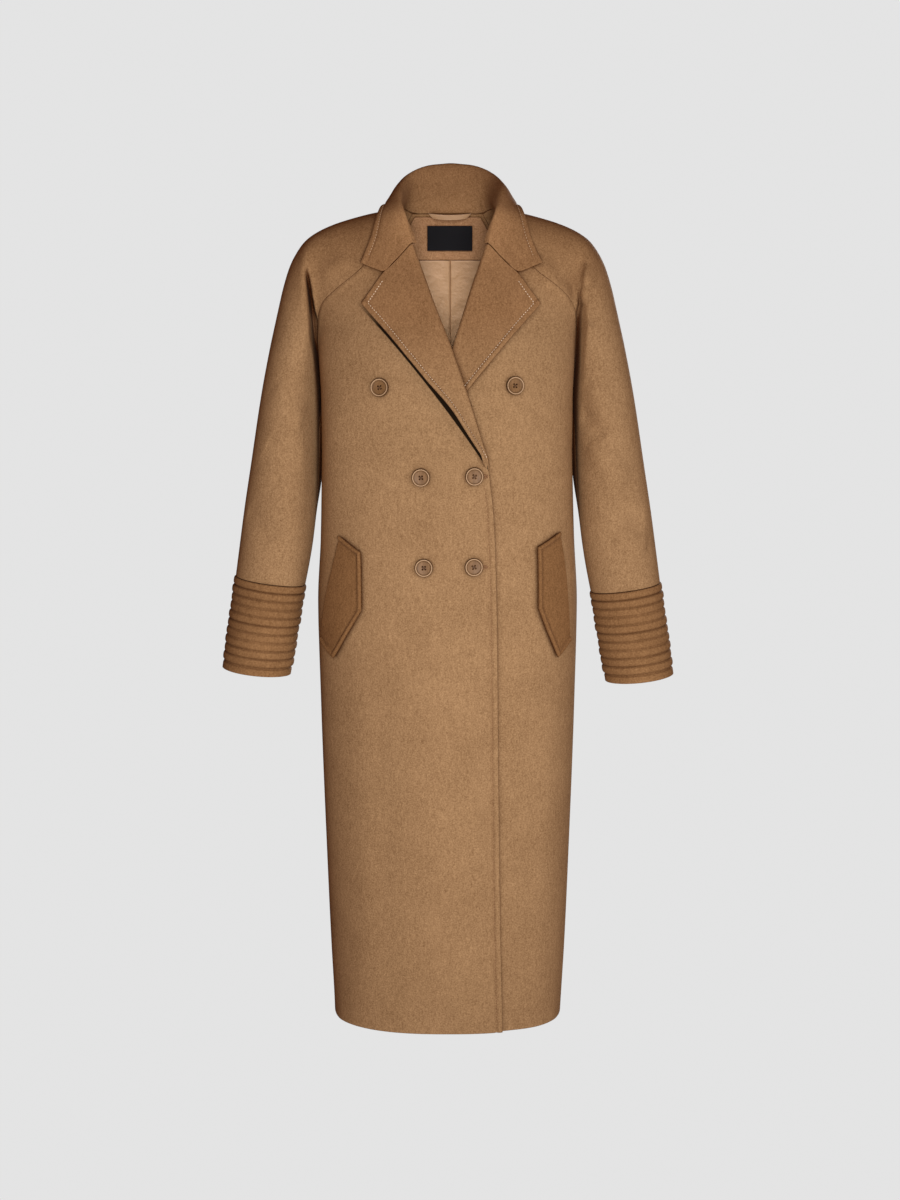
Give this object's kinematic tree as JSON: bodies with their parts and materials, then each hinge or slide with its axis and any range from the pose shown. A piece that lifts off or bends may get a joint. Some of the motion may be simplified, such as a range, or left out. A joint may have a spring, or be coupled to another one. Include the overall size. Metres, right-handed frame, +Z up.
{
  "type": "double-breasted coat",
  "caption": "Long double-breasted wool coat with raglan sleeves, tucked cuffs, notched collar and lapels, slanted pocket flaps and round buttons, filled out as if worn.",
  "frame": {"origin": "middle of the neck opening at the height of the back neck seam, where the wearer's shoulders hold the coat", "axes": "+Z up along the coat, +Y toward its back, the front faces -Y, +X toward the wearer's left"},
  "size_m": [0.6649, 0.2587, 1.264],
  "materials": {
    "coat_wool": "brushed wool, soft nap",
    "flap_wool": "brushed wool, darker",
    "lining_satin": "satin lining",
    "label_black": "woven, blank",
    "button_horn": "polished horn look"
  },
  "bodies": {
    "root": {"back": "coat_wool", "front_right": "coat_wool", "front_left": "coat_wool", "sleeve_front_right": "coat_wool", "sleeve_back_right": "coat_wool", "sleeve_front_left": "coat_wool", "sleeve_back_left": "coat_wool", "cuff_right": "coat_wool", "cuff_left": "coat_wool", "lapel_right": "coat_wool", "lapel_left": "coat_wool", "collar": "coat_wool", "back_neck_facing": "coat_wool", "pocket_flap_right": "flap_wool", "pocket_flap_left": "flap_wool", "back_lining": "lining_satin", "hanger_loop": "lining_satin", "neck_label": "label_black", "button_1": "button_horn", "button_2": "button_horn", "button_3": "button_horn", "button_4": "button_horn", "button_5": "button_horn", "button_6": "button_horn"}
  },
  "joints": []
}
